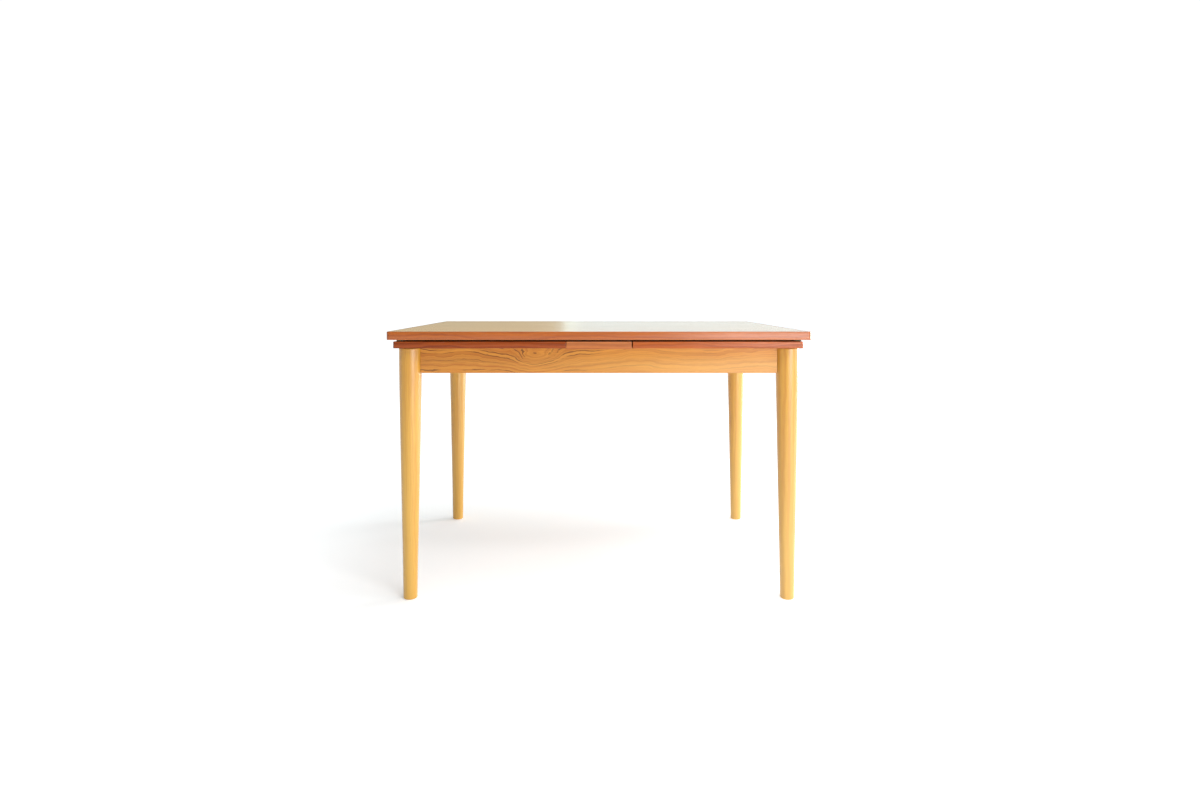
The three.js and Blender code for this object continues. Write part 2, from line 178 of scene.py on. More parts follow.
class Graph:
    """A material's node tree, with short calls for the few kinds of node used here."""

    def __init__(self, name):
        self.material = bpy.data.materials.new(name)
        self.material.use_nodes = True
        self.tree = self.material.node_tree
        self.shader = self.tree.nodes["Principled BSDF"]

    def link(self, value, socket):
        if isinstance(value, bpy.types.NodeSocket):
            self.tree.links.new(value, socket)
        else:
            socket.default_value = value

    def place(self, offset=(0, 0, 0), turn=(0, 0, 0)):
        """The point on the piece, in metres at rest, turned so that X runs along the grain."""
        coordinates = self.tree.nodes.new("ShaderNodeTexCoord")
        mapping = self.tree.nodes.new("ShaderNodeMapping")
        mapping.inputs["Location"].default_value = offset
        mapping.inputs["Rotation"].default_value = turn
        self.tree.links.new(coordinates.outputs["Object"], mapping.inputs["Vector"])
        return mapping.outputs["Vector"]

    def stretch(self, vector, scale):
        mapping = self.tree.nodes.new("ShaderNodeMapping")
        mapping.inputs["Scale"].default_value = scale
        self.tree.links.new(vector, mapping.inputs["Vector"])
        return mapping.outputs["Vector"]

    def noise(self, vector, scale=1.0, detail=2.0, rough=0.5):
        node = self.tree.nodes.new("ShaderNodeTexNoise")
        node.inputs["Scale"].default_value = scale
        node.inputs["Detail"].default_value = detail
        node.inputs["Roughness"].default_value = rough
        self.tree.links.new(vector, node.inputs["Vector"])
        return node.outputs["Fac"]

    def noise_line(self, value, detail=2.0, rough=0.55):
        """Noise along one line, read at value."""
        node = self.tree.nodes.new("ShaderNodeTexNoise")
        node.noise_dimensions = "1D"
        node.inputs["Scale"].default_value = 1.0
        node.inputs["Detail"].default_value = detail
        node.inputs["Roughness"].default_value = rough
        self.tree.links.new(value, node.inputs["W"])
        return node.outputs["Fac"]

    def math(self, operation, a, b=0.0, c=0.0):
        node = self.tree.nodes.new("ShaderNodeMath")
        node.operation = operation
        for value, socket in zip((a, b, c), node.inputs):
            self.link(value, socket)
        return node.outputs[0]

    def ramp(self, value, low, high, to_low=0.0, to_high=1.0):
        """value from low..high to to_low..to_high, smoothed and held at the ends."""
        node = self.tree.nodes.new("ShaderNodeMapRange")
        node.interpolation_type = "SMOOTHSTEP"
        self.link(value, node.inputs["Value"])
        node.inputs["From Min"].default_value = low
        node.inputs["From Max"].default_value = high
        node.inputs["To Min"].default_value = to_low
        node.inputs["To Max"].default_value = to_high
        return node.outputs["Result"]

    def mix(self, factor, a, b):
        node = self.tree.nodes.new("ShaderNodeMix")
        node.data_type = "RGBA"
        self.link(factor, node.inputs["Factor"])
        self.link(a, node.inputs["A"])
        self.link(b, node.inputs["B"])
        return node.outputs["Result"]

    def parts(self, vector):
        node = self.tree.nodes.new("ShaderNodeSeparateXYZ")
        self.tree.links.new(vector, node.inputs["Vector"])
        return node.outputs

    def join(self, x, y, z):
        node = self.tree.nodes.new("ShaderNodeCombineXYZ")
        for value, socket in zip((x, y, z), node.inputs):
            self.link(value, socket)
        return node.outputs["Vector"]

    def bump(self, height, depth, strength=1.0):
        node = self.tree.nodes.new("ShaderNodeBump")
        node.inputs["Strength"].default_value = strength
        node.inputs["Distance"].default_value = depth
        self.tree.links.new(height, node.inputs["Height"])
        self.tree.links.new(node.outputs["Normal"], self.shader.inputs["Normal"])


# Turns that lay X along the grain of a piece that runs along each axis.
GRAIN_TURN = {"X": (0, 0, 0), "Y": (0, 0, -QUARTER), "Z": (0, QUARTER, 0)}

# How fine each kind of variation is, in waves per metre along the grain and across it.
WAVER = (2.2, 9.0, 9.0)
LIFT = (4.5, 6.0, 6.0)
SHORT_WAVES = (15.0, 24.0, 24.0)
BREAKS = (9.0, 45.0, 45.0)
FIBRES = (9, 420, 420)
PORES = (22, 1300, 1300)
BROAD = (1.3, 9.0, 9.0)

SEED_STEP = 1.37  # metres along the grain from one piece of wood to the next
SEED_RINGS = 3.1
STRIP_STEP = 1.73  # metres along the grain from one leaf of veneer to the next
ARCHES = 1.9  # radians of the heart's rise and fall per metre
WAVE_GAIN = 4  # noise keeps near its middle, so it is widened by this
KNOT_WOBBLE = 5.0  # how far the wood's waves pull a knot out of round
STRIP_TURN = 2.3  # radians from one leaf of veneer's sway to the next
STRIP_SWAY = 0.35  # of a strip's width
LINES_PER_BAND = 2.1
LINES_SHIFT = 31.0
# Painted light: wood made paler towards the floor as painted floor bounce, and more so towards the right.
PAINTED_LIGHT_COLOUR = "#ecc47c"
PAINTED_LIGHT_WAVER = 0.03  # metres that the edge of the painted light strays
PAINTED_LIGHT_FADE = (-0.3, 0.4)  # X between which the painted light goes from the next line's share of its strength to all of it
PAINTED_LIGHT_LEFT = 0.25
WORN_AND_LIT_FADE = 0.002

# The stretch of each noise's values over which its feature comes in.
MIDDLE = (0.3, 0.7)
LATE_WOOD = (0.34, 0.68)
VEINS = (0.54, 0.66)
VEIN_BREAKS = (0.42, 0.56)
PORE_TOPS = (0.62, 0.74)
WORN_AND_LIT_PATCHES = (0.35, 0.6)
FIBRE_TINT = 0.13
VEINS_LEFT = 0.35  # of their strength, past the busy end


def wood(name, along, seed, light, dark, streak, heart=(0.02, -0.09), ring=0.009, figure=0.012, taper=0.0,
         strip=None, contrast=0.75, streaks=0.5, busy=(-9.0, -8.0), pores=0.5, rough=0.45, coat=0.0,
         knot=None, worn=None, sap=None, ripple=0.0, shade=0.25, shine=0.5, coat_rough=0.3):
    """Solid wood: growth rings round a heart line, wavering with the figure, with streaks, fibres and pores.

    light and dark are the early and late wood and streak the mineral lines. heart is where the tree's
    middle passes, across the grain and in height, in metres, and ring the mean width of a growth ring.
    taper is how far the heart rises and falls along the grain, in metres, which draws out arches.
    strip is the width of one leaf of veneer, each cut from another stretch of the same wood.
    Streaks thin out along X from busy[0] to busy[1]. shade is how much the tone drifts,
    and shine the strength of the surface's own reflection.
    knot is (x, z, half width, half height, rings): a place in the piece that the rings flow round.
    sap is (z, z, amount): painted light that makes the colour paler from the second height down
    to the first, as painted floor bounce, and more so towards the right, as painted light from the right.
    ripple is the height, in metres, of short waves along the grain.
    worn is the (low, high) of Z between which the colour is whole; beyond it the edges are
    rubbed paler, as real wear and as a painted highlight along the eased edges.
    """
    g = Graph(name)
    here = g.place(turn=GRAIN_TURN[along])
    piece = g.parts(here if along == "X" else g.place())
    x, y, z = g.parts(here)
    if strip:
        number = g.math("FLOOR", g.math("DIVIDE", y, strip))
        y = g.math("SUBTRACT", y, g.math("MULTIPLY", g.math("ADD", number, 0.5), strip))
        x = g.math("ADD", x, g.math("MULTIPLY", number, STRIP_STEP))
        sway = g.math("SINE", g.math("MULTIPLY", number, STRIP_TURN))
    here = g.join(g.math("ADD", x, seed * SEED_STEP), y, z)

    waver = g.noise(g.stretch(here, WAVER), detail=4.0, rough=0.5)
    lift = g.noise(g.stretch(here, LIFT), detail=4.5, rough=0.5)
    from_heart = g.math("SUBTRACT", y, heart[0])
    above_heart = g.math("SUBTRACT", z, heart[1])
    across = g.math("MULTIPLY_ADD", g.math("SUBTRACT", waver, 0.5), figure * WAVE_GAIN, from_heart)
    deep = g.math("MULTIPLY_ADD", g.math("SUBTRACT", lift, 0.5), figure * WAVE_GAIN, above_heart)
    if ripple:
        waves = g.noise(g.stretch(here, SHORT_WAVES), detail=3.0, rough=0.55)
        deep = g.math("MULTIPLY_ADD", g.math("SUBTRACT", waves, 0.5), ripple * WAVE_GAIN, deep)
    if taper:
        run = g.math("SINE", g.math("MULTIPLY", x, ARCHES))
        deep = g.math("MULTIPLY_ADD", run, taper, deep)
    if strip:
        across = g.math("MULTIPLY_ADD", sway, strip * STRIP_SWAY, across)
    radius = g.math("SQRT", g.math("ADD", g.math("POWER", across, 2.0), g.math("POWER", deep, 2.0)))
    count = g.math("MULTIPLY_ADD", radius, 1 / ring, seed * SEED_RINGS)
    if knot:
        along_x = g.math("DIVIDE", g.math("SUBTRACT", piece[0], knot[0]), knot[2])
        along_z = g.math("DIVIDE", g.math("SUBTRACT", piece[2], knot[1]), knot[3])
        along_x = g.math("MULTIPLY_ADD", g.math("SUBTRACT", lift, 0.5), KNOT_WOBBLE, along_x)
        along_z = g.math("MULTIPLY_ADD", g.math("SUBTRACT", waver, 0.5), KNOT_WOBBLE, along_z)
        reach = g.math("ADD", g.math("POWER", along_x, 2.0), g.math("POWER", along_z, 2.0))
        swell = g.math("DIVIDE", knot[4], g.math("ADD", reach, 1.0))
        count = g.math("ADD", count, swell)
    bands = g.noise_line(count, detail=3.5, rough=0.6)
    late = g.ramp(bands, *LATE_WOOD)
    lines = g.noise_line(g.math("MULTIPLY_ADD", count, LINES_PER_BAND, LINES_SHIFT), detail=2.0, rough=0.5)
    broken = g.noise(g.stretch(here, BREAKS), detail=3.0, rough=0.6)

    fibre = g.noise(g.stretch(here, FIBRES), detail=3.0, rough=0.65)
    fine = g.noise(g.stretch(here, PORES), detail=2.0, rough=0.6)
    broad = g.noise(g.stretch(here, BROAD), detail=2.5)

    tint = g.math("MULTIPLY", late, contrast)
    tint = g.math("ADD", tint, g.ramp(broad, *MIDDLE, -shade, shade * 1.2))
    tint = g.math("ADD", tint, g.ramp(fibre, *MIDDLE, -FIBRE_TINT, FIBRE_TINT))
    tint = g.math("MINIMUM", g.math("MAXIMUM", tint, 0.0), 1.0)
    colour = g.mix(tint, linear(light), linear(dark))
    vein = g.math("MULTIPLY", g.ramp(lines, *VEINS), g.ramp(broken, *VEIN_BREAKS))
    vein = g.math("MULTIPLY", vein, g.ramp(piece[0], busy[0], busy[1], streaks, streaks * VEINS_LEFT))
    colour = g.mix(vein, colour, linear(streak))
    # Painted light: paler towards the bottom as painted floor bounce, and towards the right as painted side
    # light.
    if sap:
        low, high = (height + PAINTED_LIGHT_WAVER / 2 for height in sap[:2])
        paler = g.ramp(g.math("MULTIPLY_ADD", waver, PAINTED_LIGHT_WAVER, piece[2]), low, high, sap[2], 0.0)
        paler = g.math("MULTIPLY", paler, g.ramp(piece[0], *PAINTED_LIGHT_FADE, PAINTED_LIGHT_LEFT, 1.0))
        colour = g.mix(paler, colour, linear(PAINTED_LIGHT_COLOUR))
    pore = g.ramp(fine, *PORE_TOPS)
    colour = g.mix(g.math("MULTIPLY", pore, pores * 0.5), colour, linear(streak))
    # Paler edge bands: partly rubbed wear, partly a painted highlight along the eased edges.
    if worn:
        low, high = worn
        above = g.ramp(piece[2], high, high + WORN_AND_LIT_FADE)
        edge = g.math("MAXIMUM", above, g.ramp(piece[2], low, low - WORN_AND_LIT_FADE))
        patchy = g.math("MULTIPLY", edge, g.ramp(broad, *WORN_AND_LIT_PATCHES, 0.3, 0.8))
        colour = g.mix(patchy, colour, linear(light))
    g.tree.links.new(colour, g.shader.inputs["Base Color"])

    uneven = g.ramp(fibre, *MIDDLE, rough - 0.05, rough + 0.06)
    gloss = g.math("ADD", uneven, g.math("MULTIPLY", pore, 0.15))
    g.tree.links.new(gloss, g.shader.inputs["Roughness"])
    height = g.math("SUBTRACT", g.math("MULTIPLY", fibre, 0.5), g.math("MULTIPLY", pore, 0.8))
    g.bump(height, 0.00025, 0.7)
    g.shader.inputs["Specular IOR Level"].default_value = shine
    if coat:
        g.shader.inputs["Coat Weight"].default_value = coat
        g.shader.inputs["Coat Roughness"].default_value = coat_rough
    return g.material


def teak_solid(name, along, seed, **changes):
    """Reddish solid teak, as in the lippings."""
    settings = dict(light="#ae5d20", dark="#8c3f12", streak="#4c1c0a", ring=0.006, contrast=0.7,
                    streaks=0.45, pores=0.6, rough=0.27, coat=0.35, shine=0.4)
    return wood(name, along, seed, **{**settings, **changes})


def teak_apron(name, along, seed, **changes):
    """Golden teak veneer with wavering figure and dark lines."""
    settings = dict(light="#cc8a33", dark="#a65c1b", streak="#5a2a0c", heart=(0.02, -0.09), ring=0.0085,
                    figure=0.014, contrast=0.7, streaks=0.8, pores=0.5, rough=0.36, shine=0.35)
    return wood(name, along, seed, **{**settings, **changes})


def beech(name, along, seed, **changes):
    """Honey-coloured beech, close and quiet in its grain, under a satin lacquer."""
    settings = dict(light="#d09e38", dark="#b87a1b", streak="#8a4f12", heart=(0.05, -0.07), ring=0.007,
                    figure=0.007, contrast=0.45, streaks=0.12, pores=0.4, rough=0.34, coat=0.5,
                    coat_rough=0.27, shade=0.35)
    return wood(name, along, seed, **{**settings, **changes})


def plain_wood(name, along, seed, **changes):
    """Unfinished pale hardwood, for what is under the table."""
    settings = dict(light="#dcc39a", dark="#bd9a67", streak="#7d5c36", heart=(0.04, -0.06), ring=0.005,
                    figure=0.006, contrast=0.7, streaks=0.25, pores=0.7, rough=0.62)
    return wood(name, along, seed, **{**settings, **changes})


def steel(name, seed):
    """Dull zinc-plated steel with faint mottling and wear."""
    g = Graph(name)
    here = g.place(offset=(seed * 0.7, 0, 0))
    mottle = g.noise(here, scale=260, detail=4.0, rough=0.6)
    spots = g.noise(here, scale=55, detail=3.0)
    colour = g.mix(g.ramp(mottle, *MIDDLE), linear("#c9c6bb"), linear("#a39f92"))
    colour = g.mix(g.ramp(spots, 0.6, 0.78, 0.0, 0.5), colour, linear("#6f675a"))
    g.tree.links.new(colour, g.shader.inputs["Base Color"])
    g.tree.links.new(g.ramp(mottle, *MIDDLE, 0.28, 0.46), g.shader.inputs["Roughness"])
    g.shader.inputs["Metallic"].default_value = 0.95
    g.bump(mottle, 0.00006)
    return g.material


def felt(name, seed):
    """Dark green pressed felt with a fuzzy, uneven surface."""
    g = Graph(name)
    here = g.place(offset=(seed * 0.7, 0, 0))
    fuzz = g.noise(here, scale=900, detail=4.0, rough=0.7)
    clumps = g.noise(here, scale=120, detail=3.0)
    colour = g.mix(g.ramp(fuzz, *MIDDLE), linear("#2f3a2b"), linear("#54604a"))
    colour = g.mix(g.ramp(clumps, 0.5, 0.75, 0.0, 0.4), colour, linear("#252c22"))
    g.tree.links.new(colour, g.shader.inputs["Base Color"])
    g.tree.links.new(g.ramp(fuzz, *MIDDLE, 0.85, 1.0), g.shader.inputs["Roughness"])
    g.shader.inputs["Sheen Weight"].default_value = 0.4
    g.shader.inputs["Sheen Roughness"].default_value = 0.5
    g.bump(fuzz, 0.0004)
    return g.material


# ---- mesh helpers ----
WELD = 1e-6
ARC_STEPS = 10  # of a slab's corner in plan
EDGE_STEPS = 4  # of its eased edges


def finish_mesh(bm, name, material, body, replaced, sharp=35):
    """Makes the piece from bm: smooth faces, with edges of more than sharp degrees kept crisp."""
    bmesh.ops.remove_doubles(bm, verts=bm.verts, dist=WELD)
    bmesh.ops.recalc_face_normals(bm, faces=bm.faces)
    for face in bm.faces:
        face.smooth = True
    for edge in bm.edges:
        edge.smooth = edge.is_manifold and edge.calc_face_angle(0.0) < math.radians(sharp)
    mesh = bpy.data.meshes.new(name)
    bm.to_mesh(mesh)
    bm.free()
    mesh.materials.append(material)
    piece = bpy.data.objects.new(name, mesh)
    bpy.context.scene.collection.objects.link(piece)
    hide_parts(*replaced)
    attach(piece, body)


def ring_of(bm, points, z):
    return [bm.verts.new((x, y, z)) for x, y in points]


def bridge(bm, lower, upper):
    count = len(lower)
    for i in range(count):
        j = (i + 1) % count
        bm.faces.new((lower[i], lower[j], upper[j], upper[i]))


def rounded_outline(low, high, radii, inset):
    """A rectangle with rounded corners, anticlockwise from the one at low x and low y, moved in by inset."""
    (x0, y0), (x1, y1) = low, high
    least = 0.0003
    points = []
    corners = [(x0, y0, 1, 1), (x1, y0, -1, 1), (x1, y1, -1, -1), (x0, y1, 1, -1)]
    for i, (cx, cy, sx, sy) in enumerate(corners):
        radius = max(radii[i], inset + least)
        mx, my = cx + sx * radius, cy + sy * radius
        start = math.pi + i * math.pi / 2
        for k in range(ARC_STEPS + 1):
            angle = start + k / ARC_STEPS * math.pi / 2
            x = mx + (radius - inset) * math.cos(angle)
            y = my + (radius - inset) * math.sin(angle)
            points.append((x, y))
    return points


def slab(low, high, radii, ease):
    """A flat board with rounded corners in plan and its upper and lower edges eased to that radius."""
    bm = bmesh.new()
    stages = []
    for k in range(EDGE_STEPS + 1):
        angle = k / EDGE_STEPS * math.pi / 2
        stages.append((ease * (1 - math.sin(angle)), low[2] + ease * (1 - math.cos(angle))))
    stages += [(inset, high[2] - (z - low[2])) for inset, z in reversed(stages)]
    rings = [ring_of(bm, rounded_outline(low[:2], high[:2], radii, inset), z) for inset, z in stages]
    for lower, upper in zip(rings, rings[1:]):
        bridge(bm, lower, upper)
    bm.faces.new(list(reversed(rings[0])))
    bm.faces.new(rings[-1])
    return bm


def cut(bm, point, outward):
    """Removes what lies beyond the plane through point, and closes the cut."""
    found = bmesh.ops.bisect_plane(
        bm,
        geom=bm.verts[:] + bm.edges[:] + bm.faces[:],
        plane_co=point,
        plane_no=outward,
        clear_outer=True,
    )
    edges = [e for e in found["geom_cut"] if isinstance(e, bmesh.types.BMEdge)]
    if edges:
        bmesh.ops.contextual_create(bm, geom=edges)


# ---- the loose top and the leaves: a veneered core with solid lippings ----
JOINT_LINE = 0.00004  # half of the fine line that shows where a lipping meets the core
LIPPING = {"top": 0.010, "leaf": 0.008}
TOP_CORNER = 0.010
TOP_EASE = 0.0012
LEAF_CORNER = {"outer": 0.007, "inner": 0.0012}
LEAF_EASE = 0.0008
WORN_AND_LIT_DEPTH = 0.0015  # depth of the top's paler edges: rubbed wear and a painted highlight
HEART_DEPTH = 0.06  # of the tree's middle under a veneered face


def lipped_panel(name, body, lipping, radii, ease, open_side, core, strips):
    """The core and lippings of one panel, cut from one eased slab so that their faces stay flush."""
    names = [name] + [f"{name}_lipping_{s}" for s in ("front", "rear", "left", "right") if s != open_side]
    boxes = [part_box(n) for n in names]
    low = Vector([min(b[0][i] for b in boxes) for i in range(3)])
    high = Vector([max(b[1][i] for b in boxes) for i in range(3)])
    inner_low = Vector([low.x + lipping, low.y + lipping, low.z])
    inner_high = Vector([high.x - lipping, high.y - lipping, high.z])
    planes = {
        "front": (inner_low, Vector((0, -1, 0))),
        "rear": (inner_high, Vector((0, 1, 0))),
        "left": (inner_low, Vector((-1, 0, 0))),
        "right": (inner_high, Vector((1, 0, 0))),
    }
    corner = {
        ("front", "left"): low,
        ("front", "right"): Vector((high.x, low.y, 0)),
        ("rear", "left"): Vector((low.x, high.y, 0)),
        ("rear", "right"): high,
    }
    bm = slab(low, high, radii, ease)
    for side, (point, outward) in planes.items():
        if side != open_side:
            cut(bm, point - outward * JOINT_LINE, outward)
    finish_mesh(bm, name + "_board", core, body, [name])
    for side, (point, outward) in planes.items():
        if side == open_side:
            continue
        bm = slab(low, high, radii, ease)
        cut(bm, point + outward * JOINT_LINE, -outward)
        for pair, place in corner.items():
            if side not in pair or open_side in pair:
                continue
            other = pair[0] if pair[1] == side else pair[1]
            mitre = (planes[other][1] - outward).normalized()
            cut(bm, place - mitre * JOINT_LINE, mitre)
        finish_mesh(bm, f"{name}_strip_{side}", strips[side], body, [f"{name}_lipping_{side}"])


def make_top():
    low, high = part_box("main_top")
    core = wood("top_veneer", "X", 0.3, light="#d9a05c", dark="#b97a3e", streak="#7a4524",
                heart=(0.0, high.z - HEART_DEPTH), ring=0.0045, figure=0.004, taper=0.035, strip=0.195,
                contrast=0.75, streaks=0.5, pores=0.6, rough=0.3, coat=0.45, shade=0.12)
    # The lippings' paler edges are partly wear and partly a painted highlight.
    worn = (low.z + WORN_AND_LIT_DEPTH, high.z - WORN_AND_LIT_DEPTH)
    strips = {
        "front": teak_solid("top_strip_front", "X", 1.0, worn=worn, shade=0.1),
        "rear": teak_solid("top_strip_rear", "X", 2.2, worn=worn),
        "left": teak_solid("top_strip_left", "Y", 3.1, worn=worn),
        "right": teak_solid("top_strip_right", "Y", 4.7, worn=worn),
    }
    lipped_panel("main_top", "top", LIPPING["top"], [TOP_CORNER] * 4, TOP_EASE, None, core, strips)


def make_leaf(side):
    name = f"leaf_{side}"
    seed = 5.0 if side == "left" else 9.0
    # Left leaf's lippings darker, right's lighter: painted shade on the left, painted light on the right.
    painted_side_light = ("#904010", "#682606") if side == "left" else ("#a85420", "#7c340e")
    inner, outer = LEAF_CORNER["inner"], LEAF_CORNER["outer"]
    radii = [outer, inner, inner, outer] if side == "left" else [inner, outer, outer, inner]
    heart = (0.0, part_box(name)[1].z - HEART_DEPTH)
    core = wood(f"{name}_veneer", "X", seed, light="#b4733c", dark="#8c5428", streak="#5a2f16",
                heart=heart, ring=0.0045, figure=0.004, taper=0.035, strip=0.165,
                contrast=0.8, streaks=0.5, rough=0.4, shade=0.12)
    redder = dict(light=painted_side_light[0], dark=painted_side_light[1], streak="#401808", coat=0.0, shine=0.3)
    strips = {
        "front": teak_solid(f"{name}_strip_front", "X", seed + 1, **redder),
        "rear": teak_solid(f"{name}_strip_rear", "X", seed + 2, **redder),
        side: teak_solid(f"{name}_strip_{side}", "Y", seed + 3, **redder),
    }
    open_side = "right" if side == "left" else "left"
    lipped_panel(name, name, LIPPING["leaf"], radii, LEAF_EASE, open_side, core, strips)


make_top()
for side, _ in SIDES:
    make_leaf(side)


# ---- legs: turned smooth, with their mortises and bolt holes ----
CLEAR = 0.0003  # between a hole and what sits in it
TONGUE = {"thick": 0.012, "shoulder": 0.010}
MORTISE_REACH = 0.05
LEG_SEGMENTS = 96
LEG_INNER = 0.015  # points of the CAD leg nearer its axis than this belong to its holes
LEG_RING_POINTS = 36
FOOT_ROUND = 0.0035
ABOVE_FOOT = 0.004  # the CAD leg's rings for its foot are all below this
FOOT_STEPS = 6
TOP_STEPS = 4
BETWEEN = 6  # rings drawn for each of the CAD leg's
# Painted light on the legs: paler towards the floor and towards the right, as painted bounce and side light.
LEG_PAINTED_LIGHT = (0.0, 0.7, 0.32)
BOLT_HOLE = [(0.0043, 0.0077), (0.0043, 0.06)]  # (radius, distance from the leg's axis)


def box_mesh(low, high):
    bm = bmesh.new()
    size = Vector(high) - Vector(low)
    matrix = Matrix.Translation((Vector(low) + Vector(high)) / 2) @ Matrix.Diagonal((*size, 1))
    bmesh.ops.create_cube(bm, size=1, matrix=matrix)
    return bm


def turned(profile, segments=LEG_SEGMENTS):
    """A body of revolution about Z, from (radius, height) pairs in order along the axis."""
    bm = bmesh.new()
    angles = [2 * math.pi * k / segments for k in range(segments)]
    rings = [ring_of(bm, [(r * math.cos(a), r * math.sin(a)) for a in angles], z) for r, z in profile]
    for lower, upper in zip(rings, rings[1:]):
        bridge(bm, lower, upper)
    bm.faces.new(list(reversed(rings[0])))
    bm.faces.new(rings[-1])
    return bm


def hollowed(bm, cutters):
    """bm with each cutter's volume taken out of it."""
    def as_object(part, name):
        mesh = bpy.data.meshes.new(name)
        part.to_mesh(mesh)
        part.free()
        made = bpy.data.objects.new(name, mesh)
        bpy.context.scene.collection.objects.link(made)
        return made

    blank = as_object(bm, "blank")
    tools = [as_object(c, "tool") for c in cutters]
    for tool in tools:
        modifier = blank.modifiers.new("cut", "BOOLEAN")
        modifier.operation = "DIFFERENCE"
        modifier.object = tool
    evaluated = blank.evaluated_get(bpy.context.evaluated_depsgraph_get())
    result = bmesh.new()
    result.from_mesh(evaluated.to_mesh())
    evaluated.to_mesh_clear()
    for temporary in [blank] + tools:
        data = temporary.data
        bpy.data.objects.remove(temporary)
        bpy.data.meshes.remove(data)
    return result


def leg_profile(node, centre):
    """The leg's own radii, smoothed between the CAD solid's rings, with rounded ends."""
    radii = {}
    for vertex in NODES[node].data.vertices:
        radius = (vertex.co.xy - centre).length
        height = round(vertex.co.z, 5)
        radii.setdefault(height, []).append(radius)
    rings = sorted(
        (z, max(r)) for z, r in radii.items() if sum(v > LEG_INNER for v in r) >= LEG_RING_POINTS
    )
    _, *body, (top, top_radius) = rings
    body = [(z, r) for z, r in body if z > ABOVE_FOOT]
    heights = [z for z, _ in body]
    widths = [r for _, r in body]
    profile = []
    for k in range(FOOT_STEPS + 1):
        angle = k / FOOT_STEPS * math.pi / 2
        radius = widths[0] - FOOT_ROUND * (1 - math.sin(angle))
        profile.append((radius, FOOT_ROUND * (1 - math.cos(angle))))
    for i in range(len(heights) - 1):
        for k in range(BETWEEN):
            t = k / BETWEEN
            before, after = widths[max(i - 1, 0)], widths[min(i + 2, len(widths) - 1)]
            a, b = widths[i], widths[i + 1]
            radius = 0.5 * (2 * a + (b - before) * t + (2 * before - 5 * a + 4 * b - after) * t * t
                            + (3 * a - before - 3 * b + after) * t ** 3)
            profile.append((radius, heights[i] + (heights[i + 1] - heights[i]) * t))
    ease = widths[-1] - top_radius
    for k in range(TOP_STEPS + 1):
        angle = k / TOP_STEPS * math.pi / 2
        height = heights[-1] + (top - heights[-1]) * math.sin(angle)
        profile.append((top_radius + ease * math.cos(angle), height))
    return profile


def make_legs():
    for i, (corner, sx, sy) in enumerate(CORNERS):
        node = f"leg_{corner}"
        low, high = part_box(node)
        centre = ((low + high) / 2).xy
        bm = turned(leg_profile(node, centre))
        bmesh.ops.translate(bm, verts=bm.verts, vec=(*centre, 0))
        end, side = corner.split("_")
        cutters = []
        for rail, axis in ((f"apron_{end}", 0), (f"apron_{side}_end", 1)):
            rail_low, rail_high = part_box(rail)
            sign = (sx, sy)[axis]
            reach = (rail_high if sign > 0 else rail_low)[axis] + sign * CLEAR
            middle = (rail_low[1 - axis] + rail_high[1 - axis]) / 2
            slot_low = [0, 0, rail_low.z + TONGUE["shoulder"] - CLEAR]
            slot_high = [0, 0, rail_high.z - TONGUE["shoulder"] + 2 * CLEAR]
            slot_low[axis], slot_high[axis] = sorted((reach, reach - sign * MORTISE_REACH))
            slot_low[1 - axis] = middle - TONGUE["thick"] / 2 - CLEAR
            slot_high[1 - axis] = middle + TONGUE["thick"] / 2 + CLEAR
            cutters.append(box_mesh(slot_low, slot_high))
        cutters.append(bolt_hole(corner, sx, sy))
        leg = hollowed(bm, cutters)
        heart = (centre.y + 0.05, centre.x + 0.07)
        # The legs' colour carries painted light: paler low down and on the right.
        material = beech(f"{node}_beech", "Z", 1.0 + i * 2.3, heart=heart, sap=LEG_PAINTED_LIGHT)
        finish_mesh(leg, f"{node}_turned", material, "base", [node])


def along_diagonal(bm, corner, sx, sy):
    """Lays a part made round Z along the line from the leg's middle to the middle of the table."""
    low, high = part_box(f"leg_{corner}")
    bolt_low, bolt_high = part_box(f"leg_bolt_{corner}")
    centre = (low + high) / 2
    matrix = Matrix.Translation((centre.x, centre.y, (bolt_low.z + bolt_high.z) / 2))
    matrix @= Matrix.Rotation(math.atan2(-sy, -sx), 4, "Z") @ Matrix.Rotation(math.pi / 2, 4, "Y")
    bmesh.ops.transform(bm, matrix=matrix, verts=bm.verts)
    return bm


def bolt_hole(corner, sx, sy):
    return along_diagonal(turned(BOLT_HOLE, 24), corner, sx, sy)


# ---- hanger bolts and wing nuts ----
ROD = {"radius": 0.004, "near": 0.008, "far": 0.090}
PITCH = 0.00125
THREAD_DEPTH = 0.0006
ROD_TIP = 0.001
NUT_START = 0.0683
# A wing nut's hub as (radius, height), and the outline of one ear as (distance from the axis, height).
NUT_HUB = [(0.0043, 0), (0.0076, 0), (0.008, 0.0006), (0.0066, 0.008), (0.006, 0.009), (0.0043, 0.009)]
NUT_EAR = [(0.005, 0.001), (0.0095, 0.0016), (0.0145, 0.0050), (0.0168, 0.0092), (0.0160, 0.0122),
           (0.0128, 0.0128), (0.0095, 0.0098), (0.005, 0.0078)]
EAR_HALF = 0.0013


def threaded_rod(radius, near, far):
    """A rod with ridges like a thread's, and a chamfered far end."""
    profile = [(radius * 0.7, near)]
    turns = int((far - near - 2 * ROD_TIP) / PITCH)
    for k in range(turns):
        z = near + THREAD_DEPTH + k * PITCH
        profile += [(radius - THREAD_DEPTH, z), (radius, z + PITCH * 0.45), (radius, z + PITCH * 0.55)]
    profile += [(radius - THREAD_DEPTH, far - ROD_TIP), (radius * 0.7, far)]
    return turned(profile, 28)


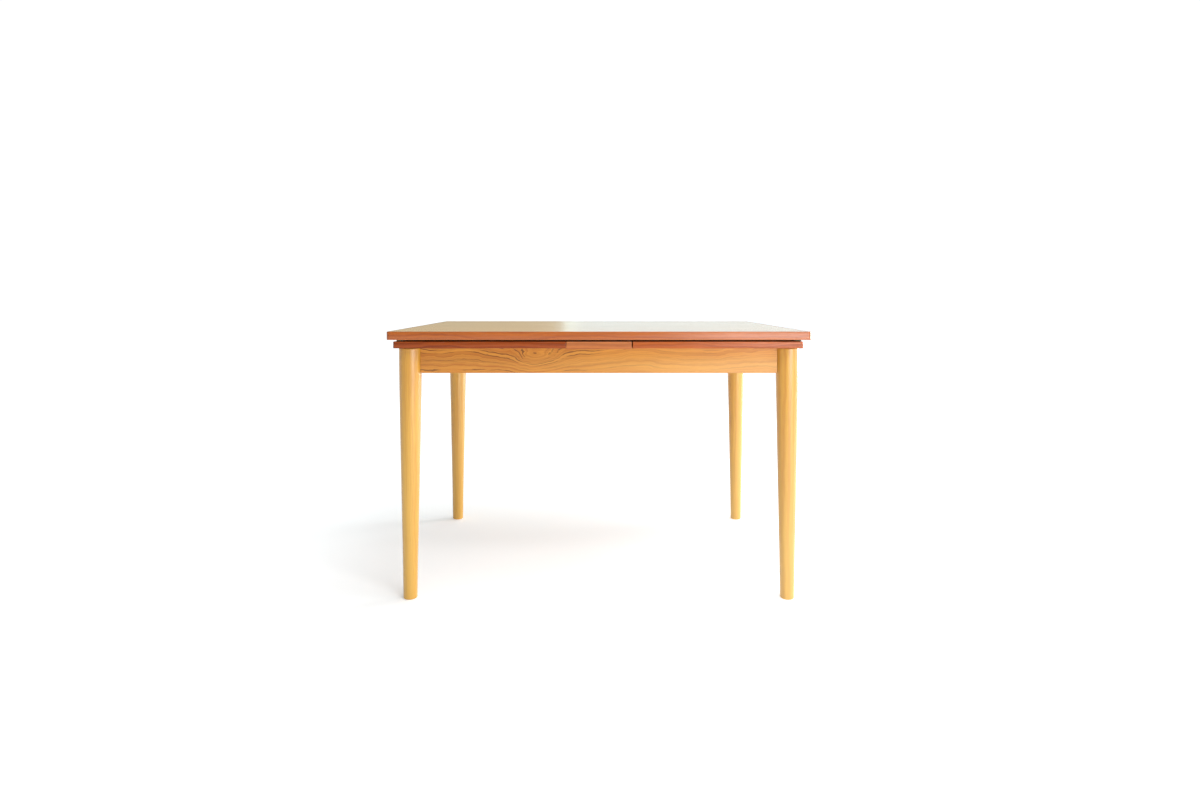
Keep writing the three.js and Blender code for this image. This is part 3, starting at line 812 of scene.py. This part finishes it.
def wing_nut(start):
    """A hub with two raised ears."""
    bm = turned([(radius, start + z) for radius, z in NUT_HUB], 32)
    for sign in (-1, 1):
        near_face = [bm.verts.new((-EAR_HALF, sign * y, start + z)) for y, z in NUT_EAR]
        far_face = [bm.verts.new((EAR_HALF, sign * y, start + z)) for y, z in NUT_EAR]
        bm.faces.new(near_face)
        bm.faces.new(list(reversed(far_face)))
        bridge(bm, near_face, far_face)
    return bm


def make_fixings():
    zinc = steel("zinc_fixings", 2)
    for corner, sx, sy in CORNERS:
        bolt = along_diagonal(threaded_rod(**ROD), corner, sx, sy)
        finish_mesh(bolt, f"hanger_bolt_{corner}", zinc, "base", [f"leg_bolt_{corner}"], sharp=50)
        nut = along_diagonal(wing_nut(NUT_START), corner, sx, sy)
        finish_mesh(nut, f"wing_nut_{corner}_eared", zinc, "base", [f"wing_nut_{corner}"], sharp=40)


make_legs()
make_fixings()


# ---- materials of the carried-over nodes ----
EDGE_ANGLE = 50  # degrees; edges sharper than this are eased
WOOD_EASE = 0.0008
THIN_EASE = 0.0006
FRONT_KNOT = (-0.165, 0.660, 0.048, 0.026, 5.0)
REAR_KNOT = (0.22, 0.650, 0.06, 0.02, 2.4)
# Painted light on the front and rear aprons: paler at the lower edge and towards the right.
APRON_PAINTED_LIGHT = (0.640, 0.680, 0.26)


def paint(node, material, ease=0.0):
    """Gives a CAD node its material and, where ease is a width, eased edges."""
    mesh = NODES[node].data
    mesh.materials.clear()
    mesh.materials.append(material)
    if ease:
        bevel = NODES[node].modifiers.new("eased", "BEVEL")
        bevel.width = ease
        bevel.segments = 2
        bevel.limit_method = "ANGLE"
        bevel.angle_limit = math.radians(EDGE_ANGLE)
        bevel.use_clamp_overlap = True


def paint_frame():
    for i, (corner, _, _) in enumerate(CORNERS):
        paint(f"corner_block_{corner}", plain_wood(f"block_{corner}_wood", "Z", 3.0 + i))
    for i, (end, _) in enumerate(ENDS):
        knot = FRONT_KNOT if end == "front" else REAR_KNOT
        # Painted light: these aprons are made paler at the bottom and towards the right.
        veneer = teak_apron(f"apron_{end}_teak", "X", 2.0 + i * 1.9, knot=knot, busy=(-0.10, 0.12),
                            sap=APRON_PAINTED_LIGHT, ripple=0.004)
        paint(f"apron_{end}", veneer, WOOD_EASE)
    for i, (side, _) in enumerate(SIDES):
        paint(f"apron_{side}_end", teak_apron(f"apron_{side}_teak", "Y", 7.0 + i * 2.1), WOOD_EASE)
        paint(f"bearer_{side}", plain_wood(f"bearer_{side}_wood", "Y", 11.0 + i), THIN_EASE)
    board = teak_solid("centre_board_teak", "X", 6.0, light="#b06632", dark="#925026", streak="#6f3f26",
                       shine=0.2)
    paint("centre_board", board, THIN_EASE)


def paint_moving_parts():
    peg_wood = beech("peg_wood", "Z", 15.0)
    for i, (side, _) in enumerate(SIDES):
        for j, (end, _) in enumerate(ENDS):
            seed = 20.0 + i * 3 + j
            paint(f"runner_{side}_{end}", plain_wood(f"runner_{side}_{end}_wood", "X", seed), WOOD_EASE)
            paint(f"stop_pin_{side}_{end}", peg_wood)
        paint(f"top_felt_{side}", felt(f"felt_{side}", i))
    for end, _ in ENDS:
        paint(f"top_peg_{end}", peg_wood)


def paint_fixings():
    zinc = steel("zinc_plate", 1)
    for side, _ in SIDES:
        for i in (1, 2):
            paint(f"board_screw_{side}_{i}", zinc)
            for end, _ in ENDS:
                paint(f"runner_screw_{side}_{end}_{i}", zinc)


paint_frame()
paint_moving_parts()
paint_fixings()
